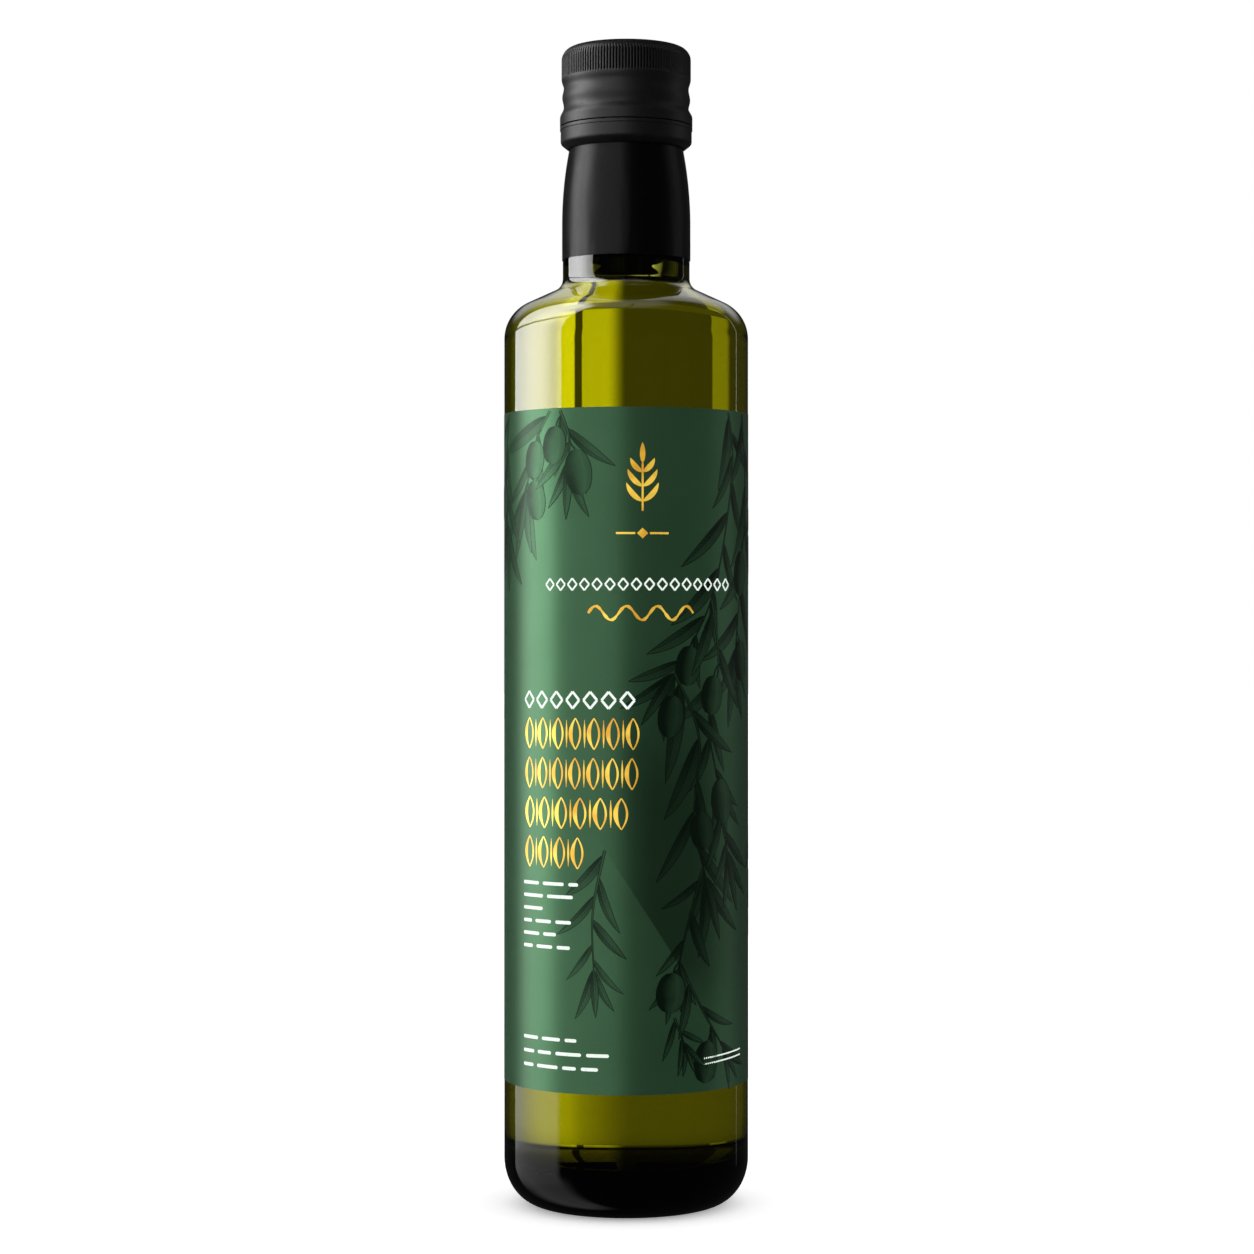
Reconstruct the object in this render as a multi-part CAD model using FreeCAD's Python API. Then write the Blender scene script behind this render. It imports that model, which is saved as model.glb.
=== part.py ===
"""Half-litre olive oil bottle, closed and full.

A straight-sided round glass bottle with a thick base, a sloping shoulder and a
short neck holds the oil up to the foot of the neck. A black sleeve grips the
neck, a ribbed black cap closes the mouth, a tamper ring hangs from the cap by
small bridges, and a paper label is wrapped round the body with a narrow gap at
the back.

Frame: millimetres, +Z up along the bottle's axis, origin at the centre of the
circle it stands on, and the middle of the label's front facing -Y.
Most pieces are turned about the Z axis from an outline drawn in the XZ plane.
"""
import FreeCAD
import Part
import math
import os

# ---- glass body
BODY_RADIUS = 30.75
WALL = 3.3
HEEL_WIDTH = 9.6
HEEL_HEIGHT = 11.8
PUNT_RADIUS = 14.0
PUNT_HEIGHT = 4.0
FLOOR_THICKNESS = 12.0
FLOOR_RISE = 2.0
INNER_HEEL_RADIUS = 6.0

# ---- shoulder and neck
SHOULDER_Z = 217.8
SHOULDER_RADIUS = 9.7
SHOULDER_SLOPE = math.radians(24.9)
NECK_RADIUS = 16.0
NECK_FILLET = 3.5
TAPER_LENGTH = 20.0
TAPER_INSET = 2.0
FINISH_WALL = 4.6
BORE_FILLET = 8.0
LIP_ROUND = 1.5

# ---- oil
ULLAGE_BELOW_NECK = 2.2

# ---- label
LABEL_BOTTOM_Z = 31.5
LABEL_TOP_BELOW_SHOULDER = 19.1
LABEL_THICKNESS = 0.12
LABEL_GAP = 3.0

# ---- sleeve
SLEEVE_ABOVE_NECK_FOOT = 4.6
SLEEVE_THICKNESS = 0.2
SLEEVE_TUCK = 2.5

# ---- tamper ring
RING_ABOVE_NECK_FOOT = 32.4
RING_HEIGHT = 5.7
RING_STEP = 0.17
RING_LAND = 0.9
RING_ROUND = 1.1
RING_CONE_SLOPE = math.radians(38)
RING_LIP_CLEARANCE = 0.1
RING_LIP_HEIGHT = 1.0
RING_INNER_CHAMFER = 0.5
BREAK_GAP = 0.2
BRIDGE_COUNT = 12
BRIDGE_WIDTH = 1.2
BRIDGE_INSET = 0.5

# ---- cap
CAP_HEIGHT = 19.9
CAP_CLEARANCE = 0.95
CAP_WALL = 1.37
CAP_TOP_THICKNESS = 1.4
CAP_TOP_ROUND = 3.2
FLANGE_STEP = 0.4
FLANGE_HEIGHT = 2.1
GROOVE_DEPTH = 0.55
LOW_GROOVE_SHARE = 0.26
SWELL_SHARE = 0.50
HIGH_GROOVE_SHARE = 0.76
SWELL_DEPTH = 0.17
RIB_COUNT = 132
RIB_DEPTH = 0.28
RIB_CREST = 0.06
RIB_FOOT_BELOW_TOP = 8.0
RIB_TOP_BELOW_TOP = 1.9

# ---- radii worked out from the above
INNER_RADIUS = BODY_RADIUS - WALL
FINISH_RADIUS = NECK_RADIUS - TAPER_INSET
BORE_RADIUS = FINISH_RADIUS - FINISH_WALL
CAP_BORE_RADIUS = FINISH_RADIUS + CAP_CLEARANCE
CAP_RADIUS = CAP_BORE_RADIUS + CAP_WALL
FLANGE_RADIUS = CAP_RADIUS + FLANGE_STEP
TAPER_RADIUS = (TAPER_LENGTH ** 2 + TAPER_INSET ** 2) / (2 * TAPER_INSET)

# ---- heights worked out from the above; the neck's foot is where its fillet ends
SLOPE_RUN = (BODY_RADIUS - NECK_RADIUS
             - (SHOULDER_RADIUS + NECK_FILLET) * (1 - math.sin(SHOULDER_SLOPE)))
NECK_FOOT_Z = (SHOULDER_Z + SLOPE_RUN * math.tan(SHOULDER_SLOPE)
               + (SHOULDER_RADIUS + NECK_FILLET) * math.cos(SHOULDER_SLOPE))
FILL_Z = NECK_FOOT_Z - ULLAGE_BELOW_NECK
SLEEVE_FOOT_Z = NECK_FOOT_Z + SLEEVE_ABOVE_NECK_FOOT
RING_FOOT_Z = NECK_FOOT_Z + RING_ABOVE_NECK_FOOT
FINISH_Z = RING_FOOT_Z + RING_LIP_HEIGHT
TAPER_Z = FINISH_Z - TAPER_LENGTH
BREAK_Z = RING_FOOT_Z + RING_HEIGHT
CAP_FOOT_Z = BREAK_Z + BREAK_GAP
CAP_TOP_Z = CAP_FOOT_Z + CAP_HEIGHT
LIP_Z = CAP_TOP_Z - CAP_TOP_THICKNESS
LABEL_TOP_Z = SHOULDER_Z - LABEL_TOP_BELOW_SHOULDER


def point(radius, height):
    return FreeCAD.Vector(radius, 0, height)


def line(start, end):
    return Part.LineSegment(point(*start), point(*end)).toShape()


def arc(start, middle, end):
    return Part.Arc(point(*start), point(*middle), point(*end)).toShape()


def round_arc(centre, radius, start_angle, end_angle):
    """An arc about centre, from one angle to another, angles from +X towards +Z."""
    def at(angle):
        return (centre[0] + radius * math.cos(angle), centre[1] + radius * math.sin(angle))
    return arc(at(start_angle), at((start_angle + end_angle) / 2), at(end_angle))


def ends(edge):
    """The (radius, height) of an edge's first and last points."""
    first, last = edge.valueAt(edge.FirstParameter), edge.valueAt(edge.LastParameter)
    return (first.x, first.z), (last.x, last.z)


def chain(pieces):
    """Joins edges and bare points, in order, into one closed outline's edges."""
    edges = []
    here = None
    start = None
    for piece in pieces:
        first, last = (piece, piece) if isinstance(piece, tuple) else ends(piece)
        if here is not None and math.dist(here, first) > 1e-7:
            edges.append(line(here, first))
        if not isinstance(piece, tuple):
            edges.append(piece)
        start = start or first
        here = last
    if math.dist(here, start) > 1e-7:
        edges.append(line(here, start))
    return edges


def turned(pieces):
    """The solid made by turning a closed outline a full turn about Z."""
    wire = Part.Wire(Part.__sortEdges__(chain(pieces)))
    return Part.Face(wire).revolve(FreeCAD.Vector(), FreeCAD.Vector(0, 0, 1), 360)


def shoulder(body_radius, shoulder_radius, neck_radius, fillet):
    """Shoulder outline: an arc off the body, a slope, and a hollow fillet into the neck."""
    slope = SHOULDER_SLOPE
    crown = round_arc((body_radius - shoulder_radius, SHOULDER_Z), shoulder_radius,
                      0, math.pi / 2 - slope)
    crown_end = ends(crown)[1]
    foot_radius = neck_radius + fillet * (1 - math.sin(slope))
    foot_z = crown_end[1] + (crown_end[0] - foot_radius) * math.tan(slope)
    centre = (neck_radius + fillet, foot_z + fillet * math.cos(slope))
    hollow = round_arc(centre, fillet, -math.pi / 2 - slope, -math.pi)
    return [crown, hollow]


def taper(offset, low_z, high_z):
    """Part of the arc that draws the neck in, set off outwards, between two heights."""
    radius = TAPER_RADIUS + offset
    centre = (NECK_RADIUS - TAPER_RADIUS, TAPER_Z)
    return round_arc(centre, radius, math.asin((low_z - TAPER_Z) / radius),
                     math.asin((high_z - TAPER_Z) / radius))


def heel():
    """Quarter ellipse from the standing ring up to the body, as a rational curve."""
    curve = Part.BezierCurve()
    curve.setPoles([point(BODY_RADIUS - HEEL_WIDTH, 0), point(BODY_RADIUS, 0),
                    point(BODY_RADIUS, HEEL_HEIGHT)])
    curve.setWeight(2, math.sqrt(0.5))
    return curve.toShape()


def dome(radius, edge_z, rise):
    """Arc from the axis out to radius, rise higher on the axis than at its edge."""
    ball = (radius ** 2 + rise ** 2) / (2 * rise)
    half = math.asin(radius / ball)
    return round_arc((0, edge_z + rise - ball), ball, math.pi / 2, math.pi / 2 - half)


def cavity():
    """The hollow inside the glass, from the floor to the mouth."""
    floor_radius = INNER_RADIUS - INNER_HEEL_RADIUS
    inner_heel = round_arc((floor_radius, FLOOR_THICKNESS + INNER_HEEL_RADIUS),
                           INNER_HEEL_RADIUS, -math.pi / 2, 0)
    inner_shoulder = shoulder(INNER_RADIUS, SHOULDER_RADIUS - WALL, BORE_RADIUS, BORE_FILLET)
    return turned([dome(floor_radius, FLOOR_THICKNESS, FLOOR_RISE), inner_heel,
                   *inner_shoulder, (BORE_RADIUS, LIP_Z), (0, LIP_Z)])


def glass_bottle(hollow):
    lip = round_arc((FINISH_RADIUS - LIP_ROUND, LIP_Z - LIP_ROUND), LIP_ROUND, 0, math.pi / 2)
    body = turned([
        dome(PUNT_RADIUS, 0, PUNT_HEIGHT),
        heel(),
        *shoulder(BODY_RADIUS, SHOULDER_RADIUS, NECK_RADIUS, NECK_FILLET),
        taper(0, TAPER_Z, FINISH_Z),
        lip,
        (0, LIP_Z),
    ])
    return body.cut(hollow)


def oil(hollow):
    """The hollow's contents up to the level where the oil stands, below the neck."""
    return hollow.common(Part.makeCylinder(BODY_RADIUS, FILL_Z))


def label():
    """A thin sleeve of paper whose two ends stop short of each other at the back."""
    height = LABEL_TOP_Z - LABEL_BOTTOM_Z
    foot = FreeCAD.Vector(0, 0, LABEL_BOTTOM_Z)
    paper = Part.makeCylinder(BODY_RADIUS + LABEL_THICKNESS, height, foot)
    paper = paper.cut(Part.makeCylinder(BODY_RADIUS, height, foot))
    gap = Part.makeBox(LABEL_GAP, 2 * BODY_RADIUS, height,
                       FreeCAD.Vector(-LABEL_GAP / 2, 0, LABEL_BOTTOM_Z))
    return paper.cut(gap)


def neck_sleeve():
    """A thin skin on the neck, from below the taper to inside the ring."""
    top_z = FINISH_Z + SLEEVE_TUCK
    outer = FINISH_RADIUS + SLEEVE_THICKNESS
    return turned([
        (NECK_RADIUS, SLEEVE_FOOT_Z),
        (NECK_RADIUS + SLEEVE_THICKNESS, SLEEVE_FOOT_Z),
        taper(SLEEVE_THICKNESS, TAPER_Z, FINISH_Z),
        (outer, FINISH_Z),
        (outer, top_z),
        (FINISH_RADIUS, top_z),
        taper(0, FINISH_Z, TAPER_Z),
    ])


def rolled_side():
    """The cap's side between flange and ribs: two shallow grooves with a swell between."""
    low = CAP_FOOT_Z + FLANGE_HEIGHT
    high = CAP_TOP_Z - RIB_FOOT_BELOW_TOP
    span = high - low
    knots = [
        (FLANGE_RADIUS, low),
        (CAP_RADIUS - GROOVE_DEPTH, low + LOW_GROOVE_SHARE * span),
        (CAP_RADIUS - SWELL_DEPTH, low + SWELL_SHARE * span),
        (CAP_RADIUS - GROOVE_DEPTH, low + HIGH_GROOVE_SHARE * span),
        (CAP_RADIUS, high),
    ]
    curve = Part.BSplineCurve()
    up = FreeCAD.Vector(0, 0, 1)
    curve.interpolate([point(*knot) for knot in knots], InitialTangent=up, FinalTangent=up)
    return curve.toShape()


def rib_cutter():
    """A thick ring whose inner wall is a star: it cuts the ribs into the cap's side.

    The star's points stand RIB_CREST proud of the cap, so a narrow land is left
    on top of each rib.
    """
    low = CAP_TOP_Z - RIB_FOOT_BELOW_TOP
    height = RIB_FOOT_BELOW_TOP - RIB_TOP_BELOW_TOP
    corners = []
    for index in range(2 * RIB_COUNT):
        angle = math.pi * index / RIB_COUNT
        radius = CAP_RADIUS + (-RIB_DEPTH if index % 2 else RIB_CREST)
        corners.append(FreeCAD.Vector(radius * math.cos(angle), radius * math.sin(angle), low))
    corners.append(corners[0])
    star = Part.Face(Part.makePolygon(corners)).extrude(FreeCAD.Vector(0, 0, height))
    blank = Part.makeCylinder(FLANGE_RADIUS, height, FreeCAD.Vector(0, 0, low))
    return blank.cut(star)


def cap():
    """Ribbed cap: a cup that sits on the glass lip, with a flange at its foot."""
    top_round = round_arc((CAP_RADIUS - CAP_TOP_ROUND, CAP_TOP_Z - CAP_TOP_ROUND),
                          CAP_TOP_ROUND, 0, math.pi / 2)
    shell = turned([
        (CAP_BORE_RADIUS, CAP_FOOT_Z),
        (FLANGE_RADIUS, CAP_FOOT_Z),
        rolled_side(),
        top_round,
        (0, CAP_TOP_Z),
        (0, LIP_Z),
        (CAP_BORE_RADIUS, LIP_Z),
    ])
    return shell.cut(rib_cutter())


def neck_at(height):
    """The glass neck's radius at a height on its taper."""
    return NECK_RADIUS - TAPER_RADIUS + math.sqrt(TAPER_RADIUS ** 2 - (height - TAPER_Z) ** 2)


def tamper_ring():
    """The ring left on the neck once the cap is turned, with the bridges that hold it."""
    outer = FLANGE_RADIUS - RING_STEP
    lip_radius = neck_at(RING_FOOT_Z) + SLEEVE_THICKNESS + RING_LIP_CLEARANCE
    slope = RING_CONE_SLOPE
    corner_radius = outer - RING_ROUND
    cone_climb = (corner_radius + RING_ROUND * math.sin(slope) - lip_radius) * math.tan(slope)
    corner_z = RING_FOOT_Z + cone_climb + RING_ROUND * math.cos(slope)
    ring = turned([
        (lip_radius, RING_FOOT_Z),
        round_arc((corner_radius, corner_z), RING_ROUND, slope - math.pi / 2, 0),
        (outer, BREAK_Z - RING_LAND),
        (FLANGE_RADIUS, BREAK_Z - RING_LAND),
        (FLANGE_RADIUS, BREAK_Z),
        (CAP_BORE_RADIUS, BREAK_Z),
        (CAP_BORE_RADIUS, RING_FOOT_Z + RING_LIP_HEIGHT + RING_INNER_CHAMFER),
        (lip_radius, RING_FOOT_Z + RING_LIP_HEIGHT),
    ])
    for index in range(BRIDGE_COUNT):
        ring = ring.fuse(bridge(360 * (index + 0.5) / BRIDGE_COUNT))
    return ring.removeSplitter()


def bridge(angle):
    """A small tab across the break, from the ring's top face to the cap's foot."""
    depth = FLANGE_RADIUS - BRIDGE_INSET - CAP_BORE_RADIUS
    tab = Part.makeBox(depth, BRIDGE_WIDTH, 2 * BREAK_GAP,
                       FreeCAD.Vector(CAP_BORE_RADIUS, -BRIDGE_WIDTH / 2, BREAK_Z - BREAK_GAP))
    tab.rotate(FreeCAD.Vector(), FreeCAD.Vector(0, 0, 1), angle)
    return tab


def write(name, shape):
    solids = shape.Solids
    assert shape.isValid() and len(solids) == 1, name
    solids[0].exportStep(f"parts/{name}.step")
    print(f"{name}: {shape.Volume / 1000:.2f} ml")


os.makedirs("parts", exist_ok=True)
hollow_inside = cavity()
write("glass_bottle", glass_bottle(hollow_inside))
write("oil", oil(hollow_inside))
write("label", label())
write("neck_sleeve", neck_sleeve())
write("cap", cap())
write("tamper_ring", tamper_ring())
print(f"fill level {FILL_Z:.2f} mm, overall height {CAP_TOP_Z:.2f} mm")
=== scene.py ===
"""Looks of a closed, full half-litre olive oil bottle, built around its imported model.

Every piece is turned or wrapped about the Z axis, in metres, with the middle of
the label's front facing -Y. Outlines are worked out in (radius, height) pairs.
"""

import math
import random

import bmesh
import bpy
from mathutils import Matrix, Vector, noise


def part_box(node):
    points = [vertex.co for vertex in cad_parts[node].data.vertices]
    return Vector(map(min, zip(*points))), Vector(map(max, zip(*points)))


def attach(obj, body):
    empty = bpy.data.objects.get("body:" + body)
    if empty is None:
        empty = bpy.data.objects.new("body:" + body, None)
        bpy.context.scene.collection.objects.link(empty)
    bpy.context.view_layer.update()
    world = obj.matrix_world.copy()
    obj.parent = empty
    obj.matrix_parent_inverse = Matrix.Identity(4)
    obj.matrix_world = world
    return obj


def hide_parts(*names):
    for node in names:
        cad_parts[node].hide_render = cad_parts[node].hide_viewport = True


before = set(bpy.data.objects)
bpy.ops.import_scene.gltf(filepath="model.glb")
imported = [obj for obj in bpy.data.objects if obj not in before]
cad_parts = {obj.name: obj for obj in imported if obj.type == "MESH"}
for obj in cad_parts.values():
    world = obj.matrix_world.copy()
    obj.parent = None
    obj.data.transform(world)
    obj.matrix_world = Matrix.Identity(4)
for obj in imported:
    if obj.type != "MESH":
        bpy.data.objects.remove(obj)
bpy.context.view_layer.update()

MM = 0.001
TURN = 2 * math.pi


def top_of(node):
    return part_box(node)[1].z


def foot_of(node):
    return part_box(node)[0].z


# ---- glass and oil
BODY_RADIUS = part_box("glass_bottle")[1].x
WALL = 3.3 * MM
HEEL_WIDTH = 9.6 * MM
HEEL_HEIGHT = 11.8 * MM
PUNT_RADIUS = 14.0 * MM
PUNT_HEIGHT = 4.0 * MM
FLOOR_THICKNESS = 12.0 * MM
FLOOR_RISE = 2.0 * MM
INNER_HEEL_RADIUS = 6.0 * MM
SHOULDER_Z = top_of("label") + 19.1 * MM
SHOULDER_RADIUS = 9.7 * MM
SHOULDER_SLOPE = math.radians(24.9)
NECK_RADIUS = 16.0 * MM
NECK_FILLET = 3.5 * MM
FINISH_RADIUS = 14.0 * MM
BORE_RADIUS = 9.4 * MM
BORE_FILLET = 8.0 * MM
LIP_Z = top_of("glass_bottle")
LIP_ROUND = 1.5 * MM
FILL_Z = top_of("oil")
OIL_INTO_WALL = 0.25 * MM
MENISCUS_RISE = 1.1 * MM
MENISCUS_REACH = 1.5 * MM

# ---- label
LABEL_FOOT_Z = foot_of("label")
LABEL_TOP_Z = top_of("label")
LABEL_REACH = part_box("label")[1].x
PAPER_INTO_GLASS = 0.05 * MM
PRINT_ROOM = 0.07 * MM
PAPER_RADIUS = LABEL_REACH - PRINT_ROOM
LABEL_GAP = 3.0 * MM

# ---- sleeve, ring and cap
SLEEVE_FOOT_Z = foot_of("neck_sleeve")
SLEEVE_TOP_Z = top_of("neck_sleeve")
SLEEVE_THICKNESS = 0.2 * MM
RING_FOOT_Z = foot_of("tamper_ring")
RING_HEIGHT = 5.7 * MM
BREAK_GAP = 0.2 * MM
FLANGE_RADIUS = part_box("cap")[1].x
CAP_FOOT_Z = foot_of("cap")
CAP_TOP_Z = top_of("cap")
CAP_RADIUS = FLANGE_RADIUS - 0.4 * MM
CAP_BORE_RADIUS = FINISH_RADIUS + 0.95 * MM
FINISH_Z = RING_FOOT_Z + 1.0 * MM
TAPER_Z = FINISH_Z - 20.0 * MM
TAPER_INSET = NECK_RADIUS - FINISH_RADIUS
TAPER_RADIUS = ((FINISH_Z - TAPER_Z) ** 2 + TAPER_INSET ** 2) / (2 * TAPER_INSET)


# ================================================================ outlines
def arc(centre, radius, start, end, steps):
    """Points on an arc about a centre (radius, height); angles run from outwards to up."""
    return [(centre[0] + radius * math.cos(start + (end - start) * i / steps),
             centre[1] + radius * math.sin(start + (end - start) * i / steps))
            for i in range(steps + 1)]


def straight(start, end, steps):
    """Evenly spaced points strictly between two ends."""
    return [(start[0] + (end[0] - start[0]) * i / steps,
             start[1] + (end[1] - start[1]) * i / steps) for i in range(1, steps)]


def rounded(corners, steps=5):
    """A closed outline from (radius, height, round) corners, each corner drawn as an arc."""
    points = []
    count = len(corners)
    for i, (r, z, size) in enumerate(corners):
        here = Vector((r, z))
        if not size:
            points.append((r, z))
            continue
        before = (Vector(corners[i - 1][:2]) - here).normalized()
        after = (Vector(corners[(i + 1) % count][:2]) - here).normalized()
        half = before.angle(after) / 2
        reach = size / math.tan(half)
        centre = here + (before + after).normalized() * (size / math.sin(half))
        first = here + before * reach - centre
        sweep = first.angle_signed(here + after * reach - centre)
        for k in range(steps + 1):
            turn = -sweep * k / steps
            cos, sin = math.cos(turn), math.sin(turn)
            points.append((centre.x + first.x * cos - first.y * sin,
                           centre.y + first.x * sin + first.y * cos))
    return points


def shoulder(body, crown, neck, fillet, steps=24):
    """Shoulder outline: an arc off the body, a slope and a hollow arc into the neck."""
    slope = SHOULDER_SLOPE
    up = arc((body - crown, SHOULDER_Z), crown, 0, math.pi / 2 - slope, steps)
    end_r, end_z = up[-1]
    foot_r = neck + fillet * (1 - math.sin(slope))
    foot_z = end_z + (end_r - foot_r) * math.tan(slope)
    centre = (neck + fillet, foot_z + fillet * math.cos(slope))
    hollow = arc(centre, fillet, -math.pi / 2 - slope, -math.pi, steps)
    return up + straight(up[-1], hollow[0], 8) + hollow


def dome(radius, edge_z, rise, steps=16):
    """Arc from the axis out to radius, rise higher on the axis than at its edge."""
    ball = (radius ** 2 + rise ** 2) / (2 * rise)
    half = math.asin(radius / ball)
    points = arc((0, edge_z + rise - ball), ball, math.pi / 2, math.pi / 2 - half, steps)
    points[0] = (0.0, edge_z + rise)
    return points


def hollow_outline(grown=0.0):
    """The hollow inside the glass from floor to mouth, grown outwards into the wall."""
    inner = BODY_RADIUS - WALL + grown
    heel = INNER_HEEL_RADIUS + grown
    floor_z = FLOOR_THICKNESS - grown
    floor = dome(inner - heel, floor_z, FLOOR_RISE)
    corner = arc((inner - heel, floor_z + heel), heel, -math.pi / 2, 0, 20)
    rise = shoulder(inner, SHOULDER_RADIUS - WALL + grown, BORE_RADIUS + grown,
                    BORE_FILLET - grown)
    wall = straight(corner[-1], rise[0], 40)
    bore = straight(rise[-1], (BORE_RADIUS + grown, LIP_Z), 30)
    return floor + corner[1:] + wall + rise + bore + [(BORE_RADIUS + grown, LIP_Z)]


def neck_at(height, offset=0.0):
    """The outside of the neck on its taper, set off outwards, at a height."""
    radius = TAPER_RADIUS + offset
    climb = min(max(height - TAPER_Z, 0.0), FINISH_Z - TAPER_Z)
    return NECK_RADIUS - TAPER_RADIUS + math.sqrt(radius ** 2 - climb ** 2)


def glass_outline():
    """The whole glass bottle: under the base, up the outside, over the lip and back down."""
    heel = [(BODY_RADIUS - HEEL_WIDTH * (1 - math.sin(a)), HEEL_HEIGHT * (1 - math.cos(a)))
            for a in (math.pi / 2 * i / 24 for i in range(25))]
    rise = shoulder(BODY_RADIUS, SHOULDER_RADIUS, NECK_RADIUS, NECK_FILLET)
    body = straight(heel[-1], rise[0], 40)
    neck = straight(rise[-1], (NECK_RADIUS, TAPER_Z), 8)
    taper = [(neck_at(TAPER_Z + (FINISH_Z - TAPER_Z) * i / 16),
              TAPER_Z + (FINISH_Z - TAPER_Z) * i / 16) for i in range(17)]
    lip = arc((FINISH_RADIUS - LIP_ROUND, LIP_Z - LIP_ROUND), LIP_ROUND, 0, math.pi / 2, 8)
    finish = straight(taper[-1], lip[0], 12)
    outside = dome(PUNT_RADIUS, 0, PUNT_HEIGHT) + heel + body + rise + neck + taper
    return outside + finish + lip + list(reversed(hollow_outline()))


def oil_outline():
    """The oil: the hollow up to the fill level, with its surface creeping up the wall."""
    rim_z = FILL_Z + MENISCUS_RISE
    wall = [p for p in hollow_outline(OIL_INTO_WALL) if p[1] < rim_z]
    rim_r = wall[-1][0]
    radii = [rim_r * (1 - i / 40) for i in range(41)]
    top = [(r, FILL_Z + MENISCUS_RISE * math.exp(-(rim_r - r) / MENISCUS_REACH)) for r in radii]
    top[-1] = (0.0, FILL_Z)
    return wall + top


# ================================================================ meshes
def mesh_object(name, points, faces):
    mesh = bpy.data.meshes.new(name)
    mesh.from_pydata(points, [], faces)
    mesh.validate()
    piece = bpy.data.objects.new(name, mesh)
    bpy.context.scene.collection.objects.link(piece)
    return piece


def smooth(piece, angle=math.radians(40)):
    piece.data.shade_smooth()
    piece.data.set_sharp_from_angle(angle=angle)
    return piece


def face_out(piece):
    """Turns every face of a closed piece outwards."""
    work = bmesh.new()
    work.from_mesh(piece.data)
    bmesh.ops.recalc_face_normals(work, faces=work.faces)
    work.to_mesh(piece.data)
    work.free()
    return piece


def turned(name, outline, segments=256, shift=None):
    """A closed solid turned from an outline. An end on the axis becomes one point.

    shift(radius, height, angle) may return a new (radius, height) for each point.
    """
    points = []
    rows = []
    for r, z in outline:
        if r < 1e-9:
            rows.append([len(points)] * segments)
            points.append((0.0, 0.0, z))
            continue
        row = []
        for k in range(segments):
            angle = TURN * k / segments
            rr, zz = shift(r, z, angle) if shift else (r, z)
            row.append(len(points))
            points.append((rr * math.sin(angle), -rr * math.cos(angle), zz))
        rows.append(row)
    on_axis = outline[0][0] < 1e-9
    pairs = list(zip(rows, rows[1:])) + ([] if on_axis else [(rows[-1], rows[0])])
    faces = []
    for low, high in pairs:
        for k in range(segments):
            n = (k + 1) % segments
            face = [low[k], low[n], high[n], high[k]]
            unique = list(dict.fromkeys(face))
            if len(unique) > 2:
                faces.append(unique)
    return smooth(face_out(mesh_object(name, points, faces)))


def wrapped(u, v, radius):
    """A place on the label: u is the distance round from the front's middle, v the height."""
    angle = u / BODY_RADIUS
    return (radius * math.sin(angle), -radius * math.cos(angle), v)


# ================================================================ materials
PAPER_GREEN = (0.033, 0.088, 0.042, 1.0)
INK_GREEN = (0.0034, 0.0125, 0.0052, 1.0)
# The dark field on the paper: the two ends of its crisp edge, and how dark it is.
FIELD_EDGE = ((-5.2, 90.8), (13.0, 62.9))
FIELD_DEPTH = 0.62


def add(tree, kind, inputs=None, **settings):
    """Adds a node. A socket given as an input is linked, anything else is its value."""
    node = tree.nodes.new("ShaderNode" + kind)
    for key, value in settings.items():
        setattr(node, key, value)
    for key, value in (inputs or {}).items():
        socket = node.inputs[key]
        if isinstance(value, bpy.types.NodeSocket):
            tree.links.new(value, socket)
        else:
            socket.default_value = value
    return node


def new_material(name):
    material = bpy.data.materials.new(name)
    material.use_nodes = True
    tree = material.node_tree
    tree.nodes.clear()
    place = add(tree, "TexCoord").outputs["Object"]
    return material, tree, place


def surface(tree, shader, volume=None):
    out = add(tree, "OutputMaterial", {"Surface": shader.outputs[0]})
    if volume:
        tree.links.new(volume.outputs[0], out.inputs["Volume"])


def bump(tree, height, strength, distance):
    return add(tree, "Bump", {"Height": height, "Strength": strength,
                              "Distance": distance}).outputs["Normal"]


def ramp(tree, value, low, high, out_low=0.0, out_high=1.0):
    """Maps a value smoothly from one range to another, held at both ends."""
    return add(tree, "MapRange", {"Value": value, "From Min": low, "From Max": high,
                                  "To Min": out_low, "To Max": out_high},
               interpolation_type="SMOOTHSTEP").outputs["Result"]


def maths(tree, kind, a, b=0.0, c=0.0):
    return add(tree, "Math", {0: a, 1: b, 2: c}, operation=kind).outputs[0]


def blend_colour(tree, factor, a, b, kind="MIX"):
    node = add(tree, "Mix", data_type="RGBA", blend_type=kind)
    for index, value in ((0, factor), (6, a), (7, b)):
        if isinstance(value, bpy.types.NodeSocket):
            tree.links.new(value, node.inputs[index])
        else:
            node.inputs[index].default_value = value
    return node.outputs[2]


def glass_material():
    """Olive green glass: clear through a wall, with painted shade making it nearly black through the
    thick base.
    """
    material, tree, place = new_material("bottle_glass")
    swell = add(tree, "TexNoise", {"Vector": place, "Scale": 38.0, "Detail": 1.5}).outputs["Fac"]
    dry = add(tree, "Attribute", attribute_name="dry").outputs["Color"]
    height = add(tree, "SeparateXYZ", {0: place}).outputs["Z"]
    # Painted shade: thin is 0 in the thick base and 1 above it, and the base's colour is mixed to
    # black by it, so the base stays dark under any light.
    thin = ramp(tree, height, FLOOR_THICKNESS - 1.0 * MM, FLOOR_THICKNESS + 0.6 * MM)
    shader = add(tree, "BsdfPrincipled", {
        "Base Color": blend_colour(tree, thin, (0.0, 0.0, 0.0, 1.0), (1.0, 1.0, 1.0, 1.0)),
        "Roughness": 0.0,
        "IOR": 1.52,
        "Transmission Weight": 1.0,
        "Specular Tint": dry,
        "Normal": bump(tree, swell, 0.12, 0.5 * MM),
    })
    volume = add(tree, "VolumeAbsorption", {"Color": (0.60, 0.61, 0.0, 1.0),
                                            "Density": 250.0})
    surface(tree, shader, volume)
    return material


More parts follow.
